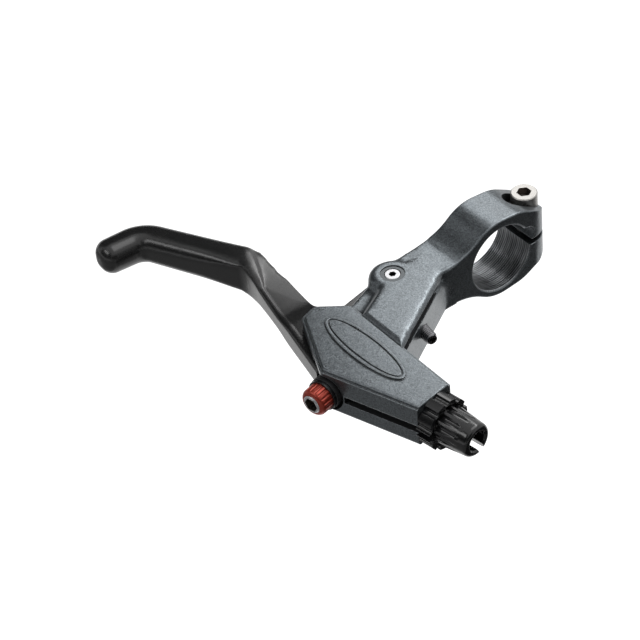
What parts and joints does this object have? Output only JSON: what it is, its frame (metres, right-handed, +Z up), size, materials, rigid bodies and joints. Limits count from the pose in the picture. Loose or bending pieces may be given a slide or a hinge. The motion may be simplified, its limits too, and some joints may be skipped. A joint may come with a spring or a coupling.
{
  "type": "bicycle brake lever",
  "caption": "Flat-bar bicycle brake lever: grey clamp body, hooked black finger lever, red leverage dial on a lead screw, slotted barrel adjuster and reach screw.",
  "frame": {"origin": "centre of the handlebar bore, midway along the clamp", "axes": "+X inboard along the handlebar, -Y forward to the lever, +Z up, along the lever's pivot"},
  "size_m": [0.1439, 0.1104, 0.0276],
  "materials": {
    "body_paint": "dark grey metallic paint, fine sparkle",
    "lever_paint": "satin black",
    "bright_steel": "bright zinc plate",
    "washer_steel": "dull zinc plate",
    "dial_red": "red anodised",
    "black_steel": "black oxide",
    "adjuster_black": "moulded, half gloss",
    "bush_plastic": "moulded, dull",
    "carriage_alloy": "bare",
    "o_ring_rubber": "dull"
  },
  "bodies": {
    "bracket": {"lever_body": "body_paint", "clamp_bolt": "bright_steel", "pivot_bolt": "bright_steel", "pivot_washer": "washer_steel", "pivot_nut": "bright_steel"},
    "lever": {"lever_blade": "lever_paint", "upper_pivot_bush": "bush_plastic", "lower_pivot_bush": "bush_plastic", "dial_bush": "bush_plastic", "tail_bush": "bush_plastic", "tail_washer": "washer_steel"},
    "dial": {"lead_screw": "bright_steel", "dial_knob": "dial_red", "dial_collar": "adjuster_black", "screw_clip": "washer_steel", "dial_o_ring": "o_ring_rubber"},
    "carriage": {"cable_carriage": "carriage_alloy"},
    "lock_ring": {"adjuster_lock_ring": "adjuster_black"},
    "barrel": {"barrel_adjuster": "adjuster_black"},
    "reach": {"reach_screw": "black_steel"}
  },
  "joints": [
    {"name": "lever_pivot", "type": "hinge", "parent": "bracket", "child": "lever", "pos_m": [-0.0022, -0.0338, -0.001], "axis": [0, 0, -1], "range_deg": [0, 30]},
    {"name": "dial_turn", "type": "hinge", "parent": "lever", "child": "dial", "pos_m": [0.0197, -0.0815, -0.001], "axis": [0.2164, -0.9763, 0], "range_deg": [-515, 2161]},
    {"name": "carriage_slide", "type": "slide", "parent": "lever", "child": "carriage", "axis": [-0.2164, 0.9763, 0], "range_m": [-0.001, 0.0042]},
    {"name": "adjuster_travel", "type": "slide", "parent": "bracket", "child": "lock_ring", "axis": [0.9888, 0.1495, 0], "range_m": [0, 0.004]},
    {"name": "barrel_turn", "type": "hinge", "parent": "lock_ring", "child": "barrel", "pos_m": [0.0469, -0.0585, -0.001], "axis": [0.9888, 0.1495, 0], "range_deg": [-1, 1441]},
    {"name": "reach_slide", "type": "slide", "parent": "bracket", "child": "reach", "axis": [0.9903, -0.1392, 0], "range_m": [0, 0.003]}
  ],
  "couplings": [
    {"joint": "dial_turn", "follows": "carriage_slide", "rad_per_m": 8976},
    {"joint": "barrel_turn", "follows": "adjuster_travel", "rad_per_m": 6283.2}
  ]
}
